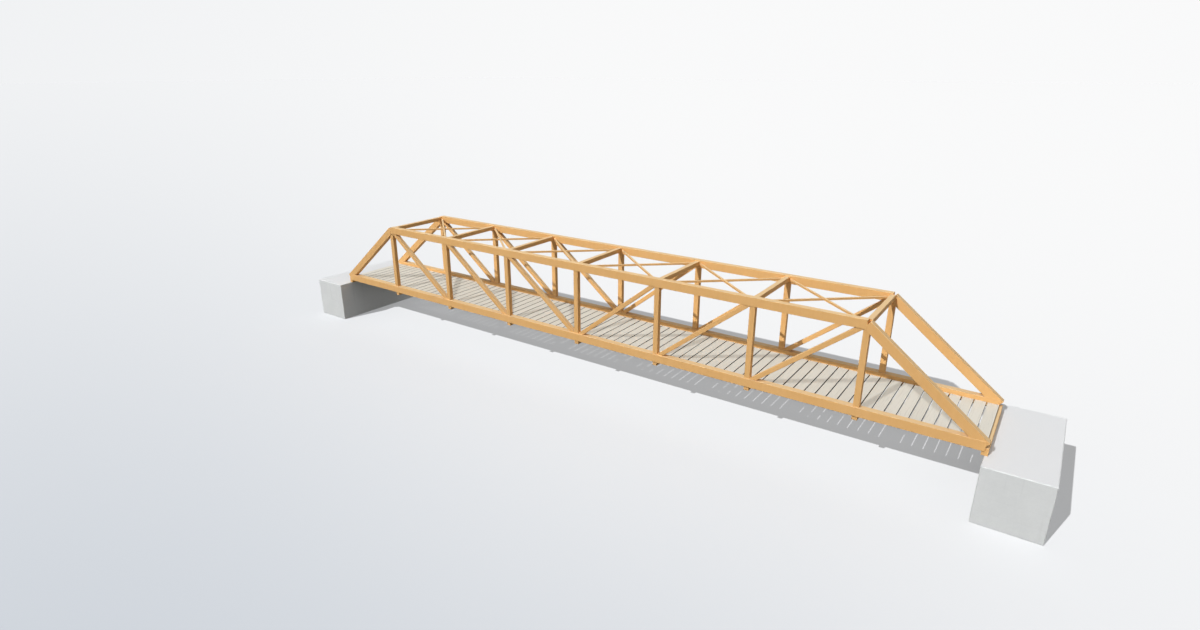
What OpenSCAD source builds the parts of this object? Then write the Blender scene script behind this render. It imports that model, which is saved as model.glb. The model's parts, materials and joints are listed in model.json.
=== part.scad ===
// Steel truss footbridge on two abutment blocks.
// +X runs along the bridge, +Y away from the front truss, +Z up.
// The origin is on the ground at the middle of the bridge.

/* [Overall] */
// Length of one bay, between the centres of two floor beams
bay_length = 3750; // [2500:50:5000]
// Distance between the centre lines of the two trusses
truss_spacing = 3225; // [2200:25:4200]
// Height of the trusses, between the centre lines of the chords
truss_height = 2990; // [2400:10:3800]

/* [Chords and end posts] */
// Depth of a bottom chord
bottom_chord_depth = 316; // [240:2:420]
// Width of a bottom chord
bottom_chord_width = 268; // [200:2:340]
// Depth of a top chord and of the end posts that carry it
top_chord_depth = 312; // [240:2:400]
// Width of a top chord and of the end posts
top_chord_width = 240; // [200:2:320]

/* [Posts and diagonals] */
// Width of a post, along the bridge
post_length = 205; // [120:5:260]
// Width of a post, across the truss
post_width = 184; // [120:2:200]
// Depth of a diagonal, in the plane of the truss
diagonal_depth = 165; // [100:5:240]
// Width of a diagonal, across the truss
diagonal_width = 184; // [100:2:200]

/* [Cross members] */
// Width of a floor beam, along the bridge
floor_beam_width = 188; // [120:2:260]
// How far the floor beams reach below the bottom chords
floor_beam_drop = 153; // [100:1:220]
// How far the ends of the floor beams stay back from the chords' outer faces
floor_beam_setback = 50; // [0:5:130]
// Width of a top strut, along the bridge
strut_width = 180; // [100:5:240]
// Depth of a top strut
strut_depth = 176; // [100:2:220]
// How far the top struts sit above the centre line of the top chords
strut_rise = 30; // [0:5:60]
// Side of the square wind braces
brace_size = 75; // [50:5:120]

/* [Deck] */
// Thickness of the deck
deck_thickness = 75; // [50:5:100]
// Height of the bottom chords above the deck, as a kerb
kerb_height = 147; // [100:1:160]
// Leg of the ledger angles that carry the ends of the deck
ledger_leg = 80; // [60:5:90]
// Thickness of the ledger angles
ledger_thickness = 10; // [6:1:16]

/* [Abutments] */
// Length of an abutment, along the bridge
abutment_length = 1900; // [1200:50:3000]
// How far an abutment reaches past the outer face of the bottom chords, on each side
abutment_overhang = 640; // [200:10:1200]
// Height of an abutment, from the ground to the seat of the end floor beam
abutment_height = 1902; // [1000:2:3500]

/* [Hidden] */
// The node names below are for eight bays
bays = 8;
SIDES = [-1, 1];
span = bays * bay_length;
half_span = span / 2;
half_bays = bays / 2;
truss_y = truss_spacing / 2;
top_chord_half_length = half_span - bay_length;
inner_points = [for (i = [1 - half_bays : half_bays - 1]) i];

// Heights above the ground
seat_z = abutment_height;
bottom_chord_base_z = seat_z + floor_beam_drop;
bottom_node_z = bottom_chord_base_z + bottom_chord_depth / 2;
bottom_chord_top_z = bottom_chord_base_z + bottom_chord_depth;
top_node_z = bottom_node_z + truss_height;
top_chord_base_z = top_node_z - top_chord_depth / 2;
strut_base_z = top_node_z + strut_rise - strut_depth / 2;
deck_top_z = bottom_chord_top_z - kerb_height;
deck_base_z = deck_top_z - deck_thickness;

// Distances from the centre line of the bridge
kerb_inner_y = truss_y - bottom_chord_width / 2;
kerb_outer_y = truss_y + bottom_chord_width / 2;
top_inner_y = truss_y - top_chord_width / 2;
floor_beam_end_y = kerb_outer_y - floor_beam_setback;
abutment_half_width = kerb_outer_y + abutment_overhang;

STEEL = [0.80, 0.62, 0.40];
STEEL_DARK = [0.66, 0.50, 0.32];
BOARDS = [0.80, 0.77, 0.70];
CONCRETE = [0.80, 0.81, 0.80];

// A bar of the given depth between two points of a plane, with square ends
module bar_outline(from, to, depth) {
    run = to - from;
    angle = atan2(run.y, run.x);
    translate(from)
        rotate(angle)
            translate([0, -depth / 2])
                square([norm(run), depth]);
}

// Stands an outline drawn in the plane of a truss upright, centred on that truss
module in_truss(side, width) {
    translate([0, side * truss_y + width / 2, 0])
        rotate([90, 0, 0])
            linear_extrude(height = width)
                children();
}

module bottom_chord_outline() {
    translate([-half_span, bottom_chord_base_z])
        square([span, bottom_chord_depth]);
}

module top_chord_outline() {
    translate([-top_chord_half_length, top_chord_base_z])
        square([2 * top_chord_half_length, top_chord_depth]);
}

module end_post_bar(end) {
    bar_outline(
        [end * half_span, bottom_node_z],
        [end * top_chord_half_length, top_node_z],
        top_chord_depth
    );
}

// The end post is coped over the ends of both chords
module end_post_outline(end) {
    difference() {
        end_post_bar(end);
        bottom_chord_outline();
        top_chord_outline();
    }
}

// A post stands between the chords; the outermost ones are trimmed to the end posts
module post_outline(point) {
    difference() {
        translate([point * bay_length - post_length / 2, bottom_chord_top_z])
            square([post_length, top_chord_base_z - bottom_chord_top_z]);
        end_post_bar(-1);
        end_post_bar(1);
    }
}

// A diagonal falls from the top of one post to the foot of the next one towards midspan
module diagonal_outline(point, end) {
    inner_point = point - end;
    low_x = min(point, inner_point) * bay_length + post_length / 2;
    window_length = bay_length - post_length;
    intersection() {
        bar_outline(
            [point * bay_length, top_node_z],
            [inner_point * bay_length, bottom_node_z],
            diagonal_depth
        );
        translate([low_x, bottom_chord_top_z])
            square([window_length, top_chord_base_z - bottom_chord_top_z]);
    }
}

module abutment(end) {
    start_x = end > 0 ? half_span : -half_span - abutment_length;
    color(CONCRETE)
        translate([start_x, -abutment_half_width, 0])
            cube([abutment_length, 2 * abutment_half_width, abutment_height]);
}

module bottom_chord(side) {
    color(STEEL)
        in_truss(side, bottom_chord_width)
            bottom_chord_outline();
}

module top_chord(side) {
    color(STEEL)
        in_truss(side, top_chord_width)
            top_chord_outline();
}

module end_post(side, end) {
    color(STEEL)
        in_truss(side, top_chord_width)
            end_post_outline(end);
}

module posts(side) {
    color(STEEL)
        in_truss(side, post_width)
            for (point = inner_points)
                post_outline(point);
}

module diagonals(side) {
    color(STEEL)
        in_truss(side, diagonal_width)
            for (end = SIDES, i = [1 : half_bays - 1])
                diagonal_outline(end * i, end);
}

// A floor beam passes under both chords and fills the space between them up to the deck;
// the end beams also close the ends of the chords
module floor_beam(number) {
    x = (number - 1 - half_bays) * bay_length;
    color(STEEL_DARK)
        difference() {
            translate([x - floor_beam_width / 2, -floor_beam_end_y, seat_z])
                cube([floor_beam_width, 2 * floor_beam_end_y, deck_base_z - seat_z]);
            for (side = SIDES)
                in_truss(side, bottom_chord_width)
                    bottom_chord_outline();
        }
}

module top_strut(number) {
    x = (number - half_bays) * bay_length;
    color(STEEL)
        translate([x - strut_width / 2, -top_inner_y, strut_base_z])
            cube([strut_width, 2 * top_inner_y, strut_depth]);
}

// Plan of one wind brace, from the end of one strut to the far end of the next
module brace_outline(bay, slope) {
    start_x = bay * bay_length;
    bar_outline(
        [start_x, -slope * truss_y],
        [start_x + bay_length, slope * truss_y],
        brace_size
    );
}

// The clear window of one top bay, between the struts and the chords
module brace_window(bay) {
    translate([bay * bay_length + strut_width / 2, -top_inner_y])
        square([bay_length - strut_width, 2 * top_inner_y]);
}

module brace_plan(bay, slope, split) {
    intersection() {
        brace_window(bay);
        difference() {
            brace_outline(bay, slope);
            if (split)
                brace_outline(bay, -slope);
        }
    }
}

// One diagonal of each top bay runs through, the other is in two halves that meet it
module wind_braces(split) {
    color(STEEL_DARK)
        translate([0, 0, top_node_z - brace_size / 2])
            linear_extrude(height = brace_size)
                for (bay = [1 - half_bays : half_bays - 2]) {
                    through_slope = bay < 0 ? 1 : -1;
                    brace_plan(bay, split ? -through_slope : through_slope, split);
                }
}

// An angle under the deck along each chord, in one length for each bay
module deck_ledgers(side) {
    length = bay_length - floor_beam_width;
    color(STEEL_DARK)
        for (i = [0 : bays - 1])
            translate([-half_span + i * bay_length + floor_beam_width / 2, side * kerb_inner_y, deck_base_z])
                rotate([90, 0, 90])
                    linear_extrude(height = length)
                        scale([-side, -1])
                            ledger_section();
}

module ledger_section() {
    square([ledger_leg, ledger_thickness]);
    square([ledger_thickness, ledger_leg]);
}

module deck_bay(number) {
    start_x = -half_span + (number - 1) * bay_length;
    color(BOARDS)
        translate([start_x, -kerb_inner_y, deck_base_z])
            cube([bay_length, 2 * kerb_inner_y, deck_thickness]);
}

abutment(-1);  // abutment_left
abutment(1);  // abutment_right
bottom_chord(-1);  // bottom_chord_front
bottom_chord(1);  // bottom_chord_back
top_chord(-1);  // top_chord_front
top_chord(1);  // top_chord_back
end_post(-1, -1);  // end_post_front_left
end_post(-1, 1);  // end_post_front_right
end_post(1, -1);  // end_post_back_left
end_post(1, 1);  // end_post_back_right
posts(-1);  // posts_front
posts(1);  // posts_back
diagonals(-1);  // diagonals_front
diagonals(1);  // diagonals_back
floor_beam(1);  // floor_beam_1
floor_beam(2);  // floor_beam_2
floor_beam(3);  // floor_beam_3
floor_beam(4);  // floor_beam_4
floor_beam(5);  // floor_beam_5
floor_beam(6);  // floor_beam_6
floor_beam(7);  // floor_beam_7
floor_beam(8);  // floor_beam_8
floor_beam(9);  // floor_beam_9
top_strut(1);  // top_strut_1
top_strut(2);  // top_strut_2
top_strut(3);  // top_strut_3
top_strut(4);  // top_strut_4
top_strut(5);  // top_strut_5
top_strut(6);  // top_strut_6
top_strut(7);  // top_strut_7
wind_braces(false);  // wind_braces_through
wind_braces(true);  // wind_braces_halved
deck_ledgers(-1);  // deck_ledgers_front
deck_ledgers(1);  // deck_ledgers_back
deck_bay(1);  // deck_bay_1
deck_bay(2);  // deck_bay_2
deck_bay(3);  // deck_bay_3
deck_bay(4);  // deck_bay_4
deck_bay(5);  // deck_bay_5
deck_bay(6);  // deck_bay_6
deck_bay(7);  // deck_bay_7
deck_bay(8);  // deck_bay_8
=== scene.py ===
"""Finishes and fine pieces of the steel truss footbridge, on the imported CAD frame.

The steelwork is the CAD's own members with rolled edges and weld beads, the deck
is laid plank by plank and bolted down, and the abutments are cast concrete.
Everything is in metres, +X along the bridge and +Z up, with the ground at zero.
"""

import json
import logging
import math
from dataclasses import dataclass, field
from enum import Enum
from typing import Any, Iterable, Sequence, Union

import bmesh
import bpy
from mathutils import Matrix, Vector
from mathutils.bvhtree import BVHTree

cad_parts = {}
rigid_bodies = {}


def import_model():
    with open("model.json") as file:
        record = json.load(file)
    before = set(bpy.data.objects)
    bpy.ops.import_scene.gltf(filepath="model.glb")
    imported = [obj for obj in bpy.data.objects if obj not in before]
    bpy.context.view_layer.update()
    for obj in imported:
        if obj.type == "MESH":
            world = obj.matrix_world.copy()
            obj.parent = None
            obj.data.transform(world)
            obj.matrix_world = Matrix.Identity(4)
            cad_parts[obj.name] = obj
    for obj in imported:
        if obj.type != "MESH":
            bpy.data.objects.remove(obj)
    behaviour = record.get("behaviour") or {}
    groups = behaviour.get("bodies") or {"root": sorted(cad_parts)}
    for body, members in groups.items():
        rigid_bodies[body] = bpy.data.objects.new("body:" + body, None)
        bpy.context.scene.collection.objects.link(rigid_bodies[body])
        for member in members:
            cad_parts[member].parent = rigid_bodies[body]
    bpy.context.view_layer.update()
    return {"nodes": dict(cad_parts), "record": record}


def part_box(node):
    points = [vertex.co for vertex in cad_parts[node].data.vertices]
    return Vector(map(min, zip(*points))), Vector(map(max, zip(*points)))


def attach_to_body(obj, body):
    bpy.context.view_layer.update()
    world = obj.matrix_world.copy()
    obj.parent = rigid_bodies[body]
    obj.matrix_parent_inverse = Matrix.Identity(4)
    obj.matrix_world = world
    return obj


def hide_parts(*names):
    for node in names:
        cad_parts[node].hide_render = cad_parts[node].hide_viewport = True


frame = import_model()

LOG = logging.getLogger("footbridge")
BODY = "root"

Colour = tuple[float, float, float]
SocketValue = Union[float, int, bool, Sequence[float], bpy.types.NodeSocket, "Signal"]


# ---------------------------------------------------------------------------
# Node trees


class Signal:
    """A number running through a shader or geometry tree, on which arithmetic adds nodes."""

    def __init__(self, tree: "NodeGraph", socket: bpy.types.NodeSocket) -> None:
        """Wraps a socket.

        Args:
            tree: The graph that new Math nodes go into.
            socket: The output socket that carries the number.
        """
        self.tree = tree
        self.socket = socket

    def math(self, operation: str, *others: SocketValue) -> "Signal":
        """Adds a Math node fed by this signal.

        Args:
            operation: The Math node's operation.
            others: The values or signals of its other inputs.

        Returns:
            The node's result.
        """
        inputs = dict(enumerate((self, *others)))
        made = self.tree.node("ShaderNodeMath", {"operation": operation}, inputs)
        return Signal(self.tree, made.outputs[0])

    def __add__(self, other: SocketValue) -> "Signal":
        """Sum with another value."""
        return self.math("ADD", other)

    def __radd__(self, other: SocketValue) -> "Signal":
        """Sum with another value on the left."""
        return self.math("ADD", other)

    def __sub__(self, other: SocketValue) -> "Signal":
        """Difference from another value."""
        return self.math("SUBTRACT", other)

    def __rsub__(self, other: SocketValue) -> "Signal":
        """Another value less this one."""
        return (self * -1.0) + other

    def __mul__(self, other: SocketValue) -> "Signal":
        """Product with another value."""
        return self.math("MULTIPLY", other)

    def __rmul__(self, other: SocketValue) -> "Signal":
        """Product with another value on the left."""
        return self.math("MULTIPLY", other)

    def __truediv__(self, other: SocketValue) -> "Signal":
        """Quotient by another value."""
        return self.math("DIVIDE", other)

    def __rtruediv__(self, other: SocketValue) -> "Signal":
        """Another value divided by this one."""
        return self.math("POWER", -1.0) * other

    def ramp(self, low: float, high: float) -> "Signal":
        """Smooth step of this signal.

        Args:
            low: The value at and below which the result is 0.
            high: The value at and above which the result is 1.

        Returns:
            The stepped signal.
        """
        settings = {"interpolation_type": "SMOOTHSTEP", "clamp": True}
        made = self.tree.node("ShaderNodeMapRange", settings, {0: self, 1: low, 2: high, 3: 0.0, 4: 1.0})
        return Signal(self.tree, made.outputs[0])


class NodeGraph:
    """A node tree with one method that adds nodes."""

    def __init__(self, tree: bpy.types.NodeTree) -> None:
        """Wraps a tree.

        Args:
            tree: The Blender node tree to build in.
        """
        self.tree = tree

    def node(
        self,
        kind: str,
        settings: dict[str, Any] | None = None,
        inputs: dict[int | str, SocketValue] | None = None,
    ) -> bpy.types.Node:
        """Adds one node.

        Args:
            kind: The node's type name.
            settings: Its properties, which are set before its sockets.
            inputs: A value or a link for each input, by name or number.

        Returns:
            The new node.
        """
        made = self.tree.nodes.new(kind)
        for name, value in (settings or {}).items():
            setattr(made, name, value)
        for key, value in (inputs or {}).items():
            self.feed(made.inputs[key], value)
        return made

    def feed(self, socket: bpy.types.NodeSocket, value: SocketValue) -> None:
        """Sets or links one input.

        Args:
            socket: The input socket.
            value: A plain value, a socket or a signal.
        """
        if isinstance(value, Signal):
            value = value.socket
        if isinstance(value, bpy.types.NodeSocket):
            self.tree.links.new(value, socket)
        else:
            socket.default_value = value


class GeometryGraph(NodeGraph):
    """A Geometry Nodes tree with named inputs, run once on an object."""

    def __init__(self, name: str) -> None:
        """Starts a tree that takes and gives geometry.

        Args:
            name: The tree's name.
        """
        super().__init__(bpy.data.node_groups.new(name, "GeometryNodeTree"))
        self.tree.interface.new_socket("Geometry", in_out="OUTPUT", socket_type="NodeSocketGeometry")
        self.ids: dict[str, str] = {}
        self.source = self.tree.nodes.new("NodeGroupInput")
        self.add_input("Geometry", "NodeSocketGeometry")

    def add_input(self, name: str, socket_type: str) -> bpy.types.NodeSocket:
        """Adds a named input to the tree.

        Args:
            name: The input's name.
            socket_type: The type of its socket.

        Returns:
            The socket that carries it inside the tree.
        """
        item = self.tree.interface.new_socket(name, in_out="INPUT", socket_type=socket_type)
        self.ids[name] = item.identifier
        return self.source.outputs[name]

    def finish(self, geometry: bpy.types.NodeSocket, material: bpy.types.NodeSocket) -> None:
        """Ends the tree in Realize Instances and Set Material.

        Args:
            geometry: The finished geometry.
            material: The input that carries its material.
        """
        real = self.node("GeometryNodeRealizeInstances", inputs={"Geometry": geometry})
        painted = self.node("GeometryNodeSetMaterial", inputs={"Geometry": real.outputs[0], "Material": material})
        sink = self.tree.nodes.new("NodeGroupOutput")
        self.feed(sink.inputs[0], painted.outputs[0])

    def run(self, name: str, base: bpy.types.Mesh, values: dict[str, Any]) -> bpy.types.Object:
        """Runs the tree on a mesh and keeps the result as a plain mesh.

        Args:
            name: The new piece's name.
            base: The mesh that the tree starts from.
            values: The value of each named input.

        Returns:
            The new piece, at the origin.
        """
        carrier = bpy.data.objects.new(name + "_carrier", base)
        bpy.context.scene.collection.objects.link(carrier)
        modifier = carrier.modifiers.new("nodes", "NODES")
        modifier.node_group = self.tree
        for key, value in values.items():
            modifier[self.ids[key]] = value
        evaluated = carrier.evaluated_get(bpy.context.evaluated_depsgraph_get())
        mesh = bpy.data.meshes.new_from_object(evaluated)
        mesh.name = name
        piece = bpy.data.objects.new(name, mesh)
        bpy.context.scene.collection.objects.link(piece)
        bpy.data.objects.remove(carrier)
        return piece


class ShaderGraph(NodeGraph):
    """A material's tree, with the few patterns that the finishes share."""

    def __init__(self, name: str) -> None:
        """Starts an empty material.

        Args:
            name: The material's name.
        """
        self.material = bpy.data.materials.new(name)
        self.material.use_nodes = True
        super().__init__(self.material.node_tree)
        self.tree.nodes.clear()
        self.coords = self.node("ShaderNodeTexCoord").outputs["Object"]

    def stretched(self, scale: Sequence[float]) -> bpy.types.NodeSocket:
        """Object coordinates multiplied axis by axis.

        Args:
            scale: The factor on each axis.

        Returns:
            The stretched coordinates.
        """
        return self.node("ShaderNodeMapping", {"vector_type": "POINT"}, {"Vector": self.coords, "Scale": scale}).outputs[0]

    def noise(
        self,
        scale: float,
        detail: float = 3.0,
        roughness: float = 0.5,
        vector: bpy.types.NodeSocket | None = None,
        distortion: float = 0.0,
    ) -> Signal:
        """Cloudy noise between 0 and 1.

        Args:
            scale: Cells for each metre.
            detail: How many octaves it has.
            roughness: How strong the finer octaves are.
            vector: The coordinates, or none for plain object coordinates.
            distortion: How far the cells are twisted.

        Returns:
            The noise.
        """
        inputs = {
            "Vector": vector or self.coords,
            "Scale": scale,
            "Detail": detail,
            "Roughness": roughness,
            "Distortion": distortion,
        }
        return Signal(self, self.node("ShaderNodeTexNoise", {"noise_dimensions": "3D"}, inputs).outputs[0])

    def attribute(self, name: str) -> Signal:
        """A number that the piece's own mesh carries.

        Args:
            name: The attribute's name.

        Returns:
            The number.
        """
        made = self.node("ShaderNodeAttribute", {"attribute_type": "GEOMETRY", "attribute_name": name})
        return Signal(self, made.outputs["Fac"])

    def axis(self, vector: bpy.types.NodeSocket, index: int) -> Signal:
        """One part of a vector.

        Args:
            vector: The vector.
            index: 0, 1 or 2 for X, Y or Z.

        Returns:
            That part.
        """
        return Signal(self, self.node("ShaderNodeSeparateXYZ", inputs={0: vector}).outputs[index])

    def facing(self, index: int) -> Signal:
        """How far the surface faces along an axis, from -1 to 1.

        Args:
            index: 0, 1 or 2 for X, Y or Z.

        Returns:
            That part of the surface's normal.
        """
        return self.axis(self.node("ShaderNodeNewGeometry").outputs["Normal"], index)

    def blend(self, factor: SocketValue, first: SocketValue, second: SocketValue) -> bpy.types.NodeSocket:
        """Mixes two colours.

        Args:
            factor: 0 for the first, 1 for the second.
            first: A colour or a socket.
            second: A colour or a socket.

        Returns:
            The mixed colour.
        """
        inputs = {0: factor, 6: rgba(first), 7: rgba(second)}
        settings = {"data_type": "RGBA", "blend_type": "MIX", "clamp_factor": True}
        return self.node("ShaderNodeMix", settings, inputs).outputs[2]

    def bump(
        self,
        height: Signal,
        depth: float,
        under: bpy.types.NodeSocket | None = None,
    ) -> bpy.types.NodeSocket:
        """Turns a height into a normal.

        Args:
            height: The height, from 0 to 1.
            depth: How deep 1 is, in metres.
            under: A normal that this one is laid over.

        Returns:
            The normal.
        """
        inputs: dict[int | str, SocketValue] = {"Height": height, "Distance": depth, "Strength": 1.0}
        if under is not None:
            inputs["Normal"] = under
        return self.node("ShaderNodeBump", inputs=inputs).outputs[0]

    def finish(self, inputs: dict[int | str, SocketValue]) -> bpy.types.Material:
        """Ends the tree in a Principled BSDF.

        Args:
            inputs: The shader's sockets.

        Returns:
            The finished material.
        """
        shader = self.node("ShaderNodeBsdfPrincipled", inputs=inputs)
        self.node("ShaderNodeOutputMaterial", inputs={"Surface": shader.outputs[0]})
        return self.material


def rgba(value: SocketValue) -> SocketValue:
    """Gives a plain colour its alpha.

    Args:
        value: A colour of three numbers, or a socket, which is left alone.

    Returns:
        The colour with four numbers, or the socket.
    """
    if isinstance(value, (bpy.types.NodeSocket, Signal)):
        return value
    return (*value, 1.0)


# ---------------------------------------------------------------------------
# Finishes


@dataclass(frozen=True)
class TanPaint:
    """Satin tan paint on steel, with a painted highlight where it faces the sky, and chipped at the edges."""

    colour: Colour = (0.765, 0.438, 0.164)
    faded: Colour = (0.800, 0.472, 0.190)
    # Lighter tan of the painted highlight on faces turned to the sky.
    sky_facing_highlight: Colour = (0.800, 0.578, 0.322)
    primer: Colour = (0.330, 0.165, 0.090)
    roughness: float = 0.60
    specular: float = 0.22

    def make(self) -> bpy.types.Material:
        """Builds the material."""
        graph = ShaderGraph("tan_paint")
        cloud = graph.noise(0.55, 4.0, 0.6)
        mottle = graph.noise(7.0, 3.0, 0.55)
        streaks = graph.noise(1.0, 4.0, 0.6, graph.stretched((9.0, 9.0, 0.7)))
        # Faces turned to the sky get a lighter tan, a painted highlight for the light on top faces; the same mask also
        # makes them rougher.
        upward = graph.facing(2).ramp(0.4, 0.95)
        top_highlight_and_wear = upward * ((cloud * 0.5 + mottle * 0.5).ramp(0.3, 0.7) * 0.3 + 0.7)
        colour = graph.blend((cloud * 0.6 + streaks * 0.4).ramp(0.3, 0.7), self.colour, self.faded)
        colour = graph.blend(top_highlight_and_wear, colour, self.sky_facing_highlight)
        chips = graph.attribute("edge") * graph.noise(38.0, 4.0, 0.65).ramp(0.66, 0.70)
        colour = graph.blend(chips, colour, self.primer)
        roughness = mottle * 0.12 + top_highlight_and_wear * 0.2 + chips * 0.3 + (self.roughness - 0.06)
        peel = graph.bump(graph.noise(260.0, 2.0, 0.5), 0.0004)
        normal = graph.bump(graph.noise(3.2, 3.0, 0.5) - chips, 0.0012, peel)
        inputs = {"Base Color": colour, "Roughness": roughness, "Specular IOR Level": self.specular, "Normal": normal}
        return graph.finish(inputs)


@dataclass(frozen=True)
class WeatheredPlank:
    """Pale weathered timber, each plank in its own tone, with the grain along it and painted shade on its sides in the
    gaps.
    """

    light: Colour = (0.740, 0.715, 0.640)
    dark: Colour = (0.680, 0.655, 0.580)
    grain: Colour = (0.535, 0.508, 0.440)
    # Near-black of the painted shade on the plank sides in the gaps.
    painted_gap_shade: Colour = (0.120, 0.110, 0.095)
    roughness: float = 0.78

    def make(self) -> bpy.types.Material:
        """Builds the material."""
        graph = ShaderGraph("weathered_plank")
        tone = graph.attribute("tone")
        along = graph.stretched((22.0, 1.1, 22.0))
        fibre = graph.noise(1.0, 5.0, 0.65, along, 0.35)
        fine = graph.noise(4.5, 3.0, 0.6, along)
        cloud = graph.noise(0.9, 3.0, 0.5)
        colour = graph.blend(tone * 0.65 + cloud * 0.35, self.light, self.dark)
        lines = fibre.ramp(0.52, 0.66) * 0.35 + fine.ramp(0.55, 0.75) * 0.18
        colour = graph.blend(lines, colour, self.grain)
        # The side faces along X, which face into the gaps between planks, are painted near-black as painted shade.
        colour = graph.blend(graph.facing(0).math("ABSOLUTE").ramp(0.5, 0.9), colour, self.painted_gap_shade)
        checks = fine.ramp(0.70, 0.76)
        normal = graph.bump(1.0 - fibre * 0.5 - checks * 0.5, 0.0025)
        roughness = cloud * 0.12 + (self.roughness - 0.06)
        return graph.finish({"Base Color": colour, "Roughness": roughness, "Normal": normal})


@dataclass(frozen=True)
class CastConcrete:
    """Pale cast concrete, painted slightly paler and bluer on top as a painted highlight, with soft stains, air holes
    and faint formwork joints.
    """

    pale: Colour = (0.722, 0.737, 0.731)
    dull: Colour = (0.680, 0.695, 0.690)
    # Slightly lighter, bluer tint of the painted highlight on upward faces.
    top_face_highlight: Colour = (0.727, 0.737, 0.751)
    stain: Colour = (0.540, 0.553, 0.548)
    roughness: float = 0.82
    board_height: float = 0.475

    def make(self) -> bpy.types.Material:
        """Builds the material."""
        graph = ShaderGraph("cast_concrete")
        cloud = graph.noise(1.3, 5.0, 0.6)
        mottle = graph.noise(11.0, 4.0, 0.6)
        runs = graph.noise(1.0, 4.0, 0.6, graph.stretched((5.0, 5.0, 0.35)))
        upright = 1.0 - graph.facing(2).math("ABSOLUTE").ramp(0.4, 0.9)
        colour = graph.blend((cloud * 0.6 + mottle * 0.4).ramp(0.3, 0.7), self.pale, self.dull)
        # Upward faces get the painted highlight tint, a little patchy.
        colour = graph.blend(graph.facing(2).ramp(0.4, 0.9) * (1.0 - cloud * 0.2), colour, self.top_face_highlight)
        colour = graph.blend(upright * runs.ramp(0.56, 0.78) * 0.3, colour, self.stain)
        cells = graph.node("ShaderNodeTexVoronoi", {"feature": "F1"}, {"Vector": graph.coords, "Scale": 26.0})
        holes = 1.0 - Signal(graph, cells.outputs["Distance"]).ramp(0.05, 0.13)
        holes = holes * graph.noise(3.0).ramp(0.5, 0.62)
        colour = graph.blend(holes * 0.7, colour, self.stain)
        height = graph.axis(graph.coords, 2) / self.board_height
        joint = 1.0 - (height.math("PINGPONG", 0.5)).ramp(0.0, 0.012)
        colour = graph.blend(joint * upright * 0.25, colour, self.stain)
        rough = graph.bump(mottle, 0.0012)
        normal = graph.bump(1.0 - holes - joint * upright * 0.5, 0.004, rough)
        roughness = cloud * 0.1 + (self.roughness - 0.05)
        return graph.finish({"Base Color": colour, "Roughness": roughness, "Normal": normal})


@dataclass(frozen=True)
class GalvanisedSteel:
    """Dull zinc on the deck bolts."""

    colour: Colour = (0.420, 0.430, 0.435)
    roughness: float = 0.48

    def make(self) -> bpy.types.Material:
        """Builds the material."""
        graph = ShaderGraph("galvanised_steel")
        flakes = graph.node("ShaderNodeTexVoronoi", {"feature": "F1"}, {"Vector": graph.coords, "Scale": 180.0})
        tint = Signal(graph, flakes.outputs["Distance"])
        colour = graph.blend(tint, self.colour, (0.30, 0.31, 0.32))
        roughness = tint * 0.2 + self.roughness
        return graph.finish({"Base Color": colour, "Metallic": 0.9, "Roughness": roughness})


# ---------------------------------------------------------------------------
# Shapes


def new_piece(name: str, mesh: bpy.types.Mesh) -> bpy.types.Object:
    """Puts a mesh in the scene as an object at the origin.

    Args:
        name: The object's name.
        mesh: Its mesh, already in place.

    Returns:
        The object.
    """
    piece = bpy.data.objects.new(name, mesh)
    bpy.context.scene.collection.objects.link(piece)
    return piece


def node_shape(name: str) -> bmesh.types.BMesh:
    """The merged faces of a CAD node, with flat areas joined.

    Args:
        name: The node's name.

    Returns:
        A new bmesh in the row frame.
    """
    source = frame["nodes"][name]
    shape = bmesh.new()
    shape.from_mesh(source.data)
    shape.transform(source.matrix_world)
    bmesh.ops.remove_doubles(shape, verts=shape.verts, dist=1e-4)
    bmesh.ops.dissolve_limit(shape, angle_limit=math.radians(0.5), verts=shape.verts, edges=shape.edges)
    return shape


def round_edges(shape: bmesh.types.BMesh, radius: float, segments: int) -> None:
    """Rounds every sharp edge and marks the new faces as edge faces.

    Args:
        shape: The shape to change.
        radius: The radius of the rounding.
        segments: The number of faces across it.
    """
    layer = shape.faces.layers.float.new("edge")
    sharp = [edge for edge in shape.edges if edge.is_manifold and edge.calc_face_angle() > math.radians(20)]
    made = bmesh.ops.bevel(
        shape,
        geom=sharp,
        offset=radius,
        offset_type="OFFSET",
        segments=segments,
        profile=0.5,
        affect="EDGES",
        clamp_overlap=True,
    )
    for face in made["faces"]:
        face[layer] = 1.0
        face.smooth = True


def box_shape(size: Sequence[float], centre: Sequence[float]) -> bmesh.types.BMesh:
    """A plain box, as a start for a rounded piece.

    Args:
        size: Its length on each axis.
        centre: Its middle.

    Returns:
        A new bmesh.
    """
    shape = bmesh.new()
    matrix = Matrix.Translation(Vector(centre)) @ Matrix.Diagonal((*size, 1.0))
    bmesh.ops.create_cube(shape, size=1.0, matrix=matrix)
    return shape


def to_mesh(shape: bmesh.types.BMesh, name: str) -> bpy.types.Mesh:
    """Turns a bmesh into a mesh and frees it.

    Args:
        shape: The shape.
        name: The mesh's name.

    Returns:
        The mesh.
    """
    mesh = bpy.data.meshes.new(name)
    shape.to_mesh(mesh)
    shape.free()
    return mesh


def attach(piece: bpy.types.Object, stands_for: Iterable[str] = ()) -> None:
    """Ties a finished piece to the frame and reports it.

    Args:
        piece: The piece.
        stands_for: The CAD nodes that it replaces.
    """
    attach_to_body(piece, BODY)
    nodes = list(stands_for)
    if nodes:
        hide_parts(*nodes)
    LOG.info("%s: %d faces, for %s", piece.name, len(piece.data.polygons), nodes or "nothing")


# ---------------------------------------------------------------------------
# Sub-assemblies


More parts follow.
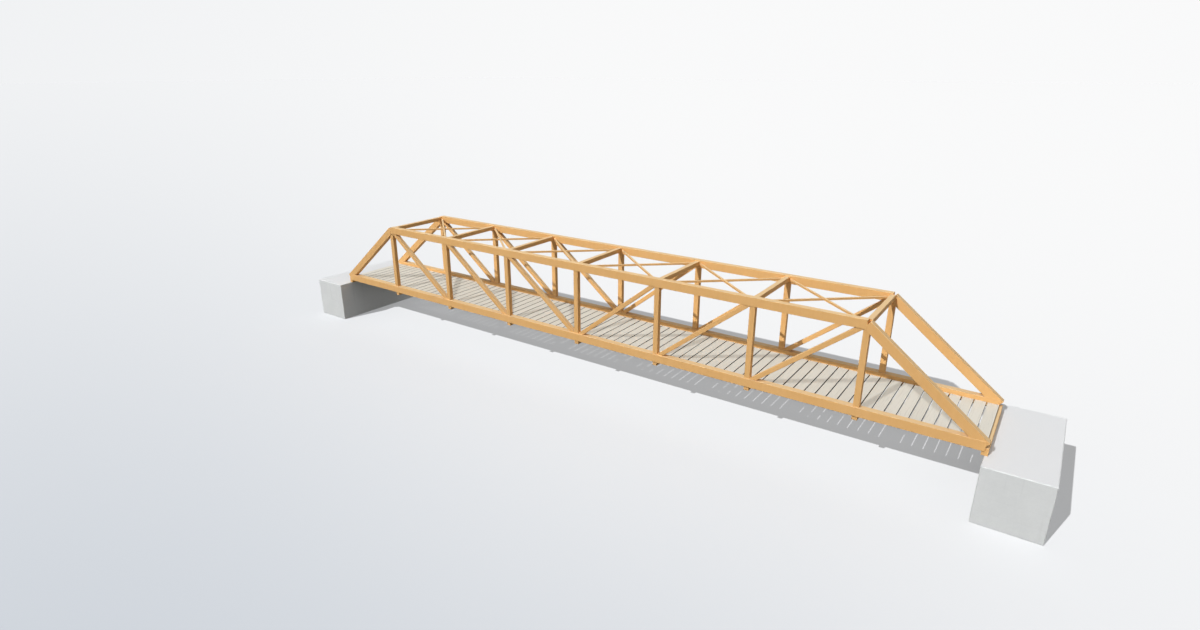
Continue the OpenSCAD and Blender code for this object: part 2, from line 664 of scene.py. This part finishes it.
@dataclass
class Steelwork:
    """The trusses, cross members and bracing, as painted steel with rounded edges."""

    material: bpy.types.Material
    edge_radius: float = 0.010
    thin_edge_radius: float = 0.002
    thin_nodes: tuple[str, ...] = ("deck_ledgers_front", "deck_ledgers_back")
    slot: str = "steel_paint"

    def nodes(self) -> list[str]:
        """The names of the steel nodes in the record."""
        return [part["node"] for part in frame["record"]["subparts"] if part["material_slot"] == self.slot]

    def build(self) -> None:
        """Makes one rounded member for each steel node."""
        for name in self.nodes():
            shape = node_shape(name)
            thin = name in self.thin_nodes
            round_edges(shape, self.thin_edge_radius if thin else self.edge_radius, 1 if thin else 2)
            piece = new_piece(name + "_steel", to_mesh(shape, name + "_steel"))
            piece.data.materials.append(self.material)
            attach(piece, [name])


class Joint(Enum):
    """Which members are welded to which, by the start of their names."""

    POSTS = ("posts", ("bottom_chord", "top_chord", "end_post"))
    DIAGONALS = ("diagonals", ("bottom_chord", "top_chord", "posts"))
    END_POSTS = ("end_post", ("bottom_chord", "top_chord"))
    STRUTS = ("top_strut", ("top_chord", "end_post"))
    THROUGH_BRACES = ("wind_braces_through", ("top_chord", "top_strut"))
    HALVED_BRACES = ("wind_braces_halved", ("top_chord", "top_strut", "wind_braces_through"))
    FLOOR_BEAMS = ("floor_beam", ("bottom_chord",))

    @property
    def member(self) -> str:
        """The start of the welded members' names."""
        return self.value[0]

    @property
    def carriers(self) -> tuple[str, ...]:
        """The starts of the names of what carries them."""
        return self.value[1]


@dataclass
class Welds:
    """Fillet weld beads around every joint of the steelwork."""

    material: bpy.types.Material
    steel_nodes: list[str]
    radius: float = 0.008
    step: float = 0.03
    contact: float = 0.001
    graph: GeometryGraph = field(init=False)

    def __post_init__(self) -> None:
        """Builds the tree that sweeps a bead along the joint lines."""
        graph = GeometryGraph("weld_bead")
        radius = graph.add_input("Radius", "NodeSocketFloat")
        step = graph.add_input("Step", "NodeSocketFloat")
        seed = graph.add_input("Seed", "NodeSocketInt")
        material = graph.add_input("Material", "NodeSocketMaterial")
        lines = graph.node("GeometryNodeMeshToCurve", inputs={"Mesh": graph.source.outputs["Geometry"]})
        points = graph.node(
            "GeometryNodeResampleCurve",
            {"mode": "LENGTH"},
            {"Curve": lines.outputs[0], "Length": step},
        )
        ripple = graph.node("FunctionNodeRandomValue", {"data_type": "FLOAT"}, {2: 0.75, 3: 1.15, "Seed": seed})
        swollen = graph.node(
            "GeometryNodeSetCurveRadius",
            inputs={"Curve": points.outputs[0], "Radius": ripple.outputs[1]},
        )
        section = graph.node(
            "GeometryNodeCurvePrimitiveCircle",
            {"mode": "RADIUS"},
            {"Resolution": 6, "Radius": radius},
        )
        bead = graph.node(
            "GeometryNodeCurveToMesh",
            inputs={"Curve": swollen.outputs[0], "Profile Curve": section.outputs[0], "Fill Caps": True},
        )
        graph.finish(bead.outputs[0], material)
        self.graph = graph

    def carrier_trees(self, joint: Joint) -> list[BVHTree]:
        """Search trees of the nodes that carry a joint's members.

        Args:
            joint: The kind of joint.

        Returns:
            One tree for each carrying node.
        """
        trees = []
        for name in self.steel_nodes:
            if name.startswith(joint.carriers):
                shape = node_shape(name)
                trees.append(BVHTree.FromBMesh(shape))
                shape.free()
        return trees

    def touches(self, face: bmesh.types.BMFace, trees: list[BVHTree]) -> bool:
        """Whether the middle of a face lies on a carrier.

        Args:
            face: The face.
            trees: The carriers' search trees.

        Returns:
            True where one of them faces it within the contact distance.
        """
        middle = face.calc_center_median()
        for tree in trees:
            _, normal, _, distance = tree.find_nearest(middle)
            if distance < self.contact and normal.dot(face.normal) < -0.9:
                return True
        return False

    def joint_lines(self, joint: Joint) -> bpy.types.Mesh:
        """The outlines of the faces with which a joint's members meet their carriers.

        Args:
            joint: The kind of joint.

        Returns:
            A mesh of edges only.
        """
        trees = self.carrier_trees(joint)
        lines = bmesh.new()
        for name in self.steel_nodes:
            if not name.startswith(joint.member):
                continue
            shape = node_shape(name)
            seated = {face for face in shape.faces if self.touches(face, trees)}
            for edge in shape.edges:
                if len(seated.intersection(edge.link_faces)) == 1:
                    lines.edges.new([lines.verts.new(vert.co) for vert in edge.verts])
            shape.free()
        bmesh.ops.remove_doubles(lines, verts=lines.verts, dist=self.contact)
        return to_mesh(lines, joint.name.lower())

    def build(self) -> None:
        """Makes one piece of beads for each kind of joint."""
        for seed, joint in enumerate(Joint):
            values = {"Radius": self.radius, "Step": self.step, "Seed": seed, "Material": self.material}
            piece = self.graph.run("welds_" + joint.name.lower(), self.joint_lines(joint), values)
            piece.data.shade_smooth()
            attach(piece)


@dataclass
class Deck:
    """Planks across the bridge, bay by bay, each bolted down at both ends."""

    plank: bpy.types.Material
    zinc: bpy.types.Material
    planks_in_bay: int = 10
    gap: float = 0.036
    gap_shift: float = 0.015
    end_gap: float = 0.006
    edge_radius: float = 0.006
    rings: int = 9
    bolt_radius: float = 0.016
    bolt_height: float = 0.007
    bolt_inset: float = 0.045
    bolt_spacing: float = 0.22
    tree: GeometryGraph = field(init=False)
    bolt_tree: GeometryGraph = field(init=False)
    pieces: list[bpy.types.Object] = field(default_factory=list)

    def __post_init__(self) -> None:
        """Builds the two trees."""
        self.tree = self.plank_tree()
        self.bolt_tree = self.make_bolt_tree()

    def bays(self) -> list[str]:
        """The names of the deck's nodes, from left to right."""
        return sorted(name for name in frame["nodes"] if name.startswith("deck_bay_"))

    def plank_tree(self) -> GeometryGraph:
        """A tree that lays a row of planks, each in its own tone and a little out of line."""
        graph = GeometryGraph("plank_row")
        count = graph.add_input("Planks", "NodeSocketInt")
        start = graph.add_input("Start", "NodeSocketVector")
        pitch = graph.add_input("Pitch", "NodeSocketVector")
        seed = graph.add_input("Seed", "NodeSocketInt")
        play = graph.add_input("Play", "NodeSocketVector")
        turn = graph.add_input("Turn", "NodeSocketVector")
        material = graph.add_input("Material", "NodeSocketMaterial")
        line = graph.node(
            "GeometryNodeMeshLine",
            {"mode": "OFFSET"},
            {"Count": count, "Start Location": start, "Offset": pitch},
        )
        slack = self.random_vector(graph, play, seed)
        moved = graph.node("GeometryNodeSetPosition", inputs={"Geometry": line.outputs[0], "Offset": slack})
        skew = self.random_vector(graph, turn, seed)
        rows = graph.node(
            "GeometryNodeInstanceOnPoints",
            inputs={
                "Points": moved.outputs[0],
                "Instance": graph.source.outputs["Geometry"],
                "Rotation": skew,
            },
        )
        tone = graph.node("FunctionNodeRandomValue", {"data_type": "FLOAT"}, {2: 0.0, 3: 1.0, "Seed": seed})
        toned = graph.node(
            "GeometryNodeStoreNamedAttribute",
            {"data_type": "FLOAT", "domain": "INSTANCE"},
            {"Geometry": rows.outputs[0], "Name": "tone", "Value": tone.outputs[1]},
        )
        graph.finish(toned.outputs[0], material)
        return graph

    @staticmethod
    def random_vector(
        graph: GeometryGraph, limit: bpy.types.NodeSocket, seed: bpy.types.NodeSocket
    ) -> bpy.types.NodeSocket:
        """A random vector between minus and plus a limit.

        Args:
            graph: The tree to add to.
            limit: The limit on each axis.
            seed: The seed.

        Returns:
            The random vector.
        """
        lowest = graph.node("ShaderNodeVectorMath", {"operation": "SCALE"}, {0: limit, "Scale": -1.0})
        settings = {"data_type": "FLOAT_VECTOR"}
        inputs = {0: lowest.outputs[0], 1: limit, "Seed": seed}
        return graph.node("FunctionNodeRandomValue", settings, inputs).outputs[0]

    def make_bolt_tree(self) -> GeometryGraph:
        """A tree that puts four bolts on each plank of a row."""
        graph = GeometryGraph("bolt_row")
        count = graph.add_input("Planks", "NodeSocketInt")
        start = graph.add_input("Start", "NodeSocketVector")
        pitch = graph.add_input("Pitch", "NodeSocketVector")
        spread = graph.add_input("Spread", "NodeSocketFloat")
        reach = graph.add_input("Reach", "NodeSocketFloat")
        material = graph.add_input("Material", "NodeSocketMaterial")
        corners = graph.node(
            "GeometryNodeMeshGrid",
            inputs={"Size X": spread, "Size Y": reach, "Vertices X": 2, "Vertices Y": 2},
        )
        four = graph.node(
            "GeometryNodeInstanceOnPoints",
            inputs={"Points": corners.outputs[0], "Instance": graph.source.outputs["Geometry"]},
        )
        line = graph.node(
            "GeometryNodeMeshLine",
            {"mode": "OFFSET"},
            {"Count": count, "Start Location": start, "Offset": pitch},
        )
        rows = graph.node(
            "GeometryNodeInstanceOnPoints",
            inputs={"Points": line.outputs[0], "Instance": four.outputs[0]},
        )
        graph.finish(rows.outputs[0], material)
        return graph

    def plank_mesh(self, size: Vector) -> bpy.types.Mesh:
        """One plank around the origin, with eased edges and faces along its length.

        Args:
            size: Its width, length and thickness.

        Returns:
            The mesh.
        """
        shape = box_shape(size, (0.0, 0.0, 0.0))
        round_edges(shape, self.edge_radius, 2)
        for ring in range(1, self.rings):
            cut = -size.y / 2 + size.y * ring / self.rings
            geometry = shape.verts[:] + shape.edges[:] + shape.faces[:]
            bmesh.ops.bisect_plane(shape, geom=geometry, plane_co=(0.0, cut, 0.0), plane_no=(0.0, 1.0, 0.0))
        return to_mesh(shape, "plank")

    def bolt_mesh(self) -> bpy.types.Mesh:
        """One domed bolt head standing on the origin."""
        shape = bmesh.new()
        matrix = Matrix.Diagonal((1.0, 1.0, self.bolt_height / self.bolt_radius, 1.0))
        bmesh.ops.create_uvsphere(shape, u_segments=10, v_segments=6, radius=self.bolt_radius, matrix=matrix)
        low = [vert for vert in shape.verts if vert.co.z < -1e-5]
        bmesh.ops.delete(shape, geom=low, context="VERTS")
        rim = [edge for edge in shape.edges if edge.is_boundary]
        bmesh.ops.contextual_create(shape, geom=rim)
        for face in shape.faces:
            face.smooth = len(face.verts) < 5
        return to_mesh(shape, "bolt_head")

    def build(self) -> None:
        """Lays the planks and bolts of every bay."""
        for seed, name in enumerate(self.bays()):
            low, high = (Vector(corner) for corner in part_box(name))
            pitch = (high.x - low.x) / self.planks_in_bay
            slack = 0.0015
            size = Vector((pitch - self.gap, high.y - low.y - 2 * self.end_gap, high.z - low.z - 2 * slack))
            start = Vector((low.x + pitch / 2 + self.gap_shift, 0.0, (low.z + high.z) / 2))
            values = {
                "Planks": self.planks_in_bay,
                "Start": start,
                "Pitch": (pitch, 0.0, 0.0),
                "Seed": seed,
                "Play": (0.0015, 0.003, slack),
                "Turn": (0.0, 0.0, 0.0006),
                "Material": self.plank,
            }
            planks = self.tree.run(name.replace("bay", "planks"), self.plank_mesh(size), values)
            attach(planks, [name])
            values = {
                "Planks": self.planks_in_bay,
                "Start": Vector((start.x, 0.0, high.z - 2 * slack)),
                "Pitch": (pitch, 0.0, 0.0),
                "Spread": self.bolt_spacing,
                "Reach": high.y - low.y - 2 * self.bolt_inset,
                "Material": self.zinc,
            }
            bolts = self.bolt_tree.run(name.replace("bay", "bolts"), self.bolt_mesh(), values)
            attach(bolts)
            self.pieces += [planks, bolts]


@dataclass
class Abutments:
    """The two concrete blocks, with chamfered edges."""

    material: bpy.types.Material
    chamfer: float = 0.020
    pieces: list[bpy.types.Object] = field(init=False, default_factory=list)

    def build(self) -> None:
        """Makes both blocks."""
        for name in ("abutment_left", "abutment_right"):
            shape = node_shape(name)
            round_edges(shape, self.chamfer, 1)
            for face in shape.faces:
                face.smooth = False
            piece = new_piece(name + "_block", to_mesh(shape, name + "_block"))
            piece.data.materials.append(self.material)
            attach(piece, [name])
            self.pieces.append(piece)


# ---------------------------------------------------------------------------
# Stage


@dataclass
class Stage:
    """The pale floor, the light and the camera."""

    floor_size: float = 1600.0
    floor_bounce: float = 0.075
    floor_glow: float = 0.33
    floor_shine: float = 0.07
    white: float = 0.97
    shade: Colour = (1.0, 0.89, 0.74)
    ambient: float = 0.25
    sky_strength: float = 0.55
    sky_angle: float = 60.0
    ground_light: float = 1.0
    sun_strength: float = 2.77
    sun_angle: float = 0.6
    sun_travel: tuple[float, float, float] = (0.295, 1.145, -1.0)
    floor_sun: float = 5.79
    deck_share: float = 0.465
    full_light: float = 1.44
    camera_place: tuple[float, float, float] = (15.76, -22.39, 12.60)
    camera_azimuth: float = -35.145
    camera_down: float = 19.938
    lens: float = 20.37
    floor: bpy.types.Object | None = field(init=False, default=None)

    def build(self) -> None:
        """Makes the floor, the world and the camera."""
        self.make_floor()
        self.make_world()
        self.make_camera()
        bpy.context.scene.view_settings.view_transform = "Standard"

    def backdrop(self, graph: NodeGraph, east: Signal, near: SocketValue) -> bpy.types.NodeSocket:
        """The backdrop's colour, which is darker to the left and nearby.

        Args:
            graph: The tree to add to.
            east: How far the place lies to the right, from -1 to 1.
            near: One over its distance in metres, or 0 for the sky.

        Returns:
            The colour.
        """
        left = ((east * -1.0 - 0.3) / 0.66).math("MAXIMUM", 0.0).math("POWER", 3.0)
        depth = left * (near * 4.71 + 0.0694) + 0.0215 + (1.0 - east) * (near * 56.4 - 0.343) * near
        tint = graph.node("ShaderNodeVectorMath", {"operation": "SCALE"}, {0: self.shade, "Scale": depth})
        inputs = {0: (self.white,) * 3, 1: tint.outputs[0]}
        return graph.node("ShaderNodeVectorMath", {"operation": "SUBTRACT"}, inputs).outputs[0]

    def seen(self, graph: NodeGraph) -> Signal:
        """1 for what the camera, a reflection or a clear material shows, and 0 for light.

        Args:
            graph: The tree to add to.

        Returns:
            The switch.
        """
        path = graph.node("ShaderNodeLightPath").outputs
        direct = Signal(graph, path["Is Camera Ray"])
        return direct.math("MAXIMUM", path["Is Glossy Ray"]).math("MAXIMUM", path["Is Transmission Ray"])

    def make_floor(self) -> None:
        """A wide pale plane just under the abutments, which fades into the backdrop."""
        shape = bmesh.new()
        bmesh.ops.create_grid(shape, x_segments=1, y_segments=1, size=self.floor_size / 2)
        floor = new_piece("floor", to_mesh(shape, "floor"))
        graph = ShaderGraph("pale_floor")
        inputs = {0: graph.coords, 1: self.camera_place}
        offset = graph.node("ShaderNodeVectorMath", {"operation": "SUBTRACT"}, inputs)
        length = graph.node("ShaderNodeVectorMath", {"operation": "LENGTH"}, {0: offset.outputs[0]})
        distance = Signal(graph, length.outputs["Value"])
        east = graph.axis(offset.outputs[0], 0) / distance
        colour = self.backdrop(graph, east, 1.0 / distance)
        across = graph.axis(graph.coords, 1)
        along = graph.axis(graph.coords, 0).math("ABSOLUTE")
        under = across.ramp(-4.5, -0.8) * (1.0 - across.ramp(1.2, 3.4)) * (1.0 - along.ramp(12.0, 16.5))
        glow = under * self.floor_shine + self.floor_glow
        scale = {0: colour, "Scale": (1.0 - self.floor_glow) / self.full_light}
        paint = graph.node("ShaderNodeVectorMath", {"operation": "SCALE"}, scale)
        matt = graph.node("ShaderNodeBsdfDiffuse", inputs={"Color": paint.outputs[0]})
        shine = graph.node("ShaderNodeEmission", inputs={"Color": colour, "Strength": glow})
        shown = graph.node("ShaderNodeAddShader", inputs={0: matt.outputs[0], 1: shine.outputs[0]})
        dim = graph.node("ShaderNodeBsdfDiffuse", inputs={"Color": rgba((self.floor_bounce,) * 3)})
        mix = graph.node("ShaderNodeMixShader", inputs={0: self.seen(graph), 1: dim.outputs[0], 2: shown.outputs[0]})
        graph.node("ShaderNodeOutputMaterial", inputs={"Surface": mix.outputs[0]})
        floor.data.materials.append(graph.material)
        self.floor = floor

    def make_world(self) -> None:
        """A plain even sky, which shows as the backdrop."""
        world = bpy.data.worlds.new("studio")
        bpy.context.scene.world = world
        world.use_nodes = True
        graph = NodeGraph(world.node_tree)
        graph.tree.nodes.clear()
        direction = graph.node("ShaderNodeTexCoord").outputs["Generated"]
        east = Signal(graph, graph.node("ShaderNodeSeparateXYZ", inputs={0: direction}).outputs[0])
        colour = self.backdrop(graph, east, 0.0)
        light = graph.node("ShaderNodeBackground", inputs={"Color": (1.0, 1.0, 1.0, 1.0), "Strength": self.ambient})
        shown = graph.node("ShaderNodeBackground", inputs={"Color": colour, "Strength": 1.0})
        mix = graph.node("ShaderNodeMixShader", inputs={0: self.seen(graph), 1: light.outputs[0], 2: shown.outputs[0]})
        graph.node("ShaderNodeOutputWorld", inputs={"Surface": mix.outputs[0]})

    def add_lamp(self, name: str, strength: float, angle: float, travel: Sequence[float]) -> bpy.types.Object:
        """Adds one far lamp.

        Args:
            name: The lamp's name.
            strength: Its strength.
            angle: How wide it looks, in degrees, which softens its shadows.
            travel: The direction in which its light goes.

        Returns:
            The lamp.
        """
        lamp = bpy.data.lights.new(name, "SUN")
        lamp.energy = strength
        lamp.angle = math.radians(angle)
        made = bpy.data.objects.new(name, lamp)
        made.rotation_euler = Vector(travel).to_track_quat("-Z", "Y").to_euler()
        bpy.context.scene.collection.objects.link(made)
        return made

    def group(self, name: str, pieces: Sequence[bpy.types.Object], state: str) -> bpy.types.Collection:
        """A set of pieces that a lamp lights or leaves out.

        Args:
            name: The set's name.
            pieces: What is in it.
            state: INCLUDE or EXCLUDE.

        Returns:
            The set.
        """
        made = bpy.data.collections.new(name)
        for piece in pieces:
            made.objects.link(piece)
        for entry in made.collection_objects:
            entry.light_linking.link_state = state
        return made

    def light(self, deck: Sequence[bpy.types.Object], blocks: Sequence[bpy.types.Object]) -> None:
        """Adds the soft lamps and the sun, of which a part reaches the deck past the trusses.

        Args:
            deck: The deck's planks and bolts.
            blocks: The concrete blocks.
        """
        on_deck = self.group("deck_only", deck, "INCLUDE")
        on_floor = self.group("floor_only", [self.floor], "INCLUDE")
        down = (0.0, 0.0, -1.0)
        sky = self.add_lamp("sky", self.sky_strength, self.sky_angle, down)
        bridge = [piece for piece in bpy.context.scene.objects if piece.type == "MESH" and piece != self.floor]
        sky.light_linking.receiver_collection = self.group("all_but_floor", bridge, "INCLUDE")
        upper = [piece for piece in bridge if piece not in deck]
        others = self.group("steel_and_concrete", upper, "INCLUDE")
        ground = self.add_lamp("ground_light", self.ground_light, self.sky_angle, (-1.0, 0.0, 0.0))
        ground.light_linking.receiver_collection = self.group("concrete_only", blocks, "INCLUDE")
        share = self.sun_strength * self.deck_share
        for name, strength, receivers in (
            ("sun", self.sun_strength, others),
            ("floor_sun", self.floor_sun, on_floor),
            ("deck_sun", share, on_deck),
            ("deck_fill", self.sun_strength - share, on_deck),
        ):
            lamp = self.add_lamp(name, strength, self.sun_angle, self.sun_travel)
            lamp.light_linking.receiver_collection = receivers
            if name == "deck_fill":
                lamp.light_linking.blocker_collection = on_deck

    def make_camera(self) -> None:
        """The camera, to the right of the bridge and above its front."""
        lens = bpy.data.cameras.new("camera")
        lens.lens = self.lens
        lens.sensor_width = 36.0
        lens.clip_end = 3000.0
        camera = bpy.data.objects.new("camera", lens)
        camera.location = self.camera_place
        turn = math.radians(-self.camera_azimuth)
        camera.rotation_euler = (math.radians(90.0 - self.camera_down), 0.0, turn)
        bpy.context.scene.collection.objects.link(camera)
        bpy.context.scene.camera = camera


def main() -> None:
    """Builds the stage and every sub-assembly in order."""
    logging.basicConfig(level=logging.INFO, format="%(name)s: %(message)s")
    stage = Stage()
    stage.build()
    paint = TanPaint().make()
    steelwork = Steelwork(paint)
    steelwork.build()
    Welds(paint, steelwork.nodes()).build()
    deck = Deck(WeatheredPlank().make(), GalvanisedSteel().make())
    deck.build()
    abutments = Abutments(CastConcrete().make())
    abutments.build()
    stage.light(deck.pieces, abutments.pieces)


if __name__ == "__main__":
    main()
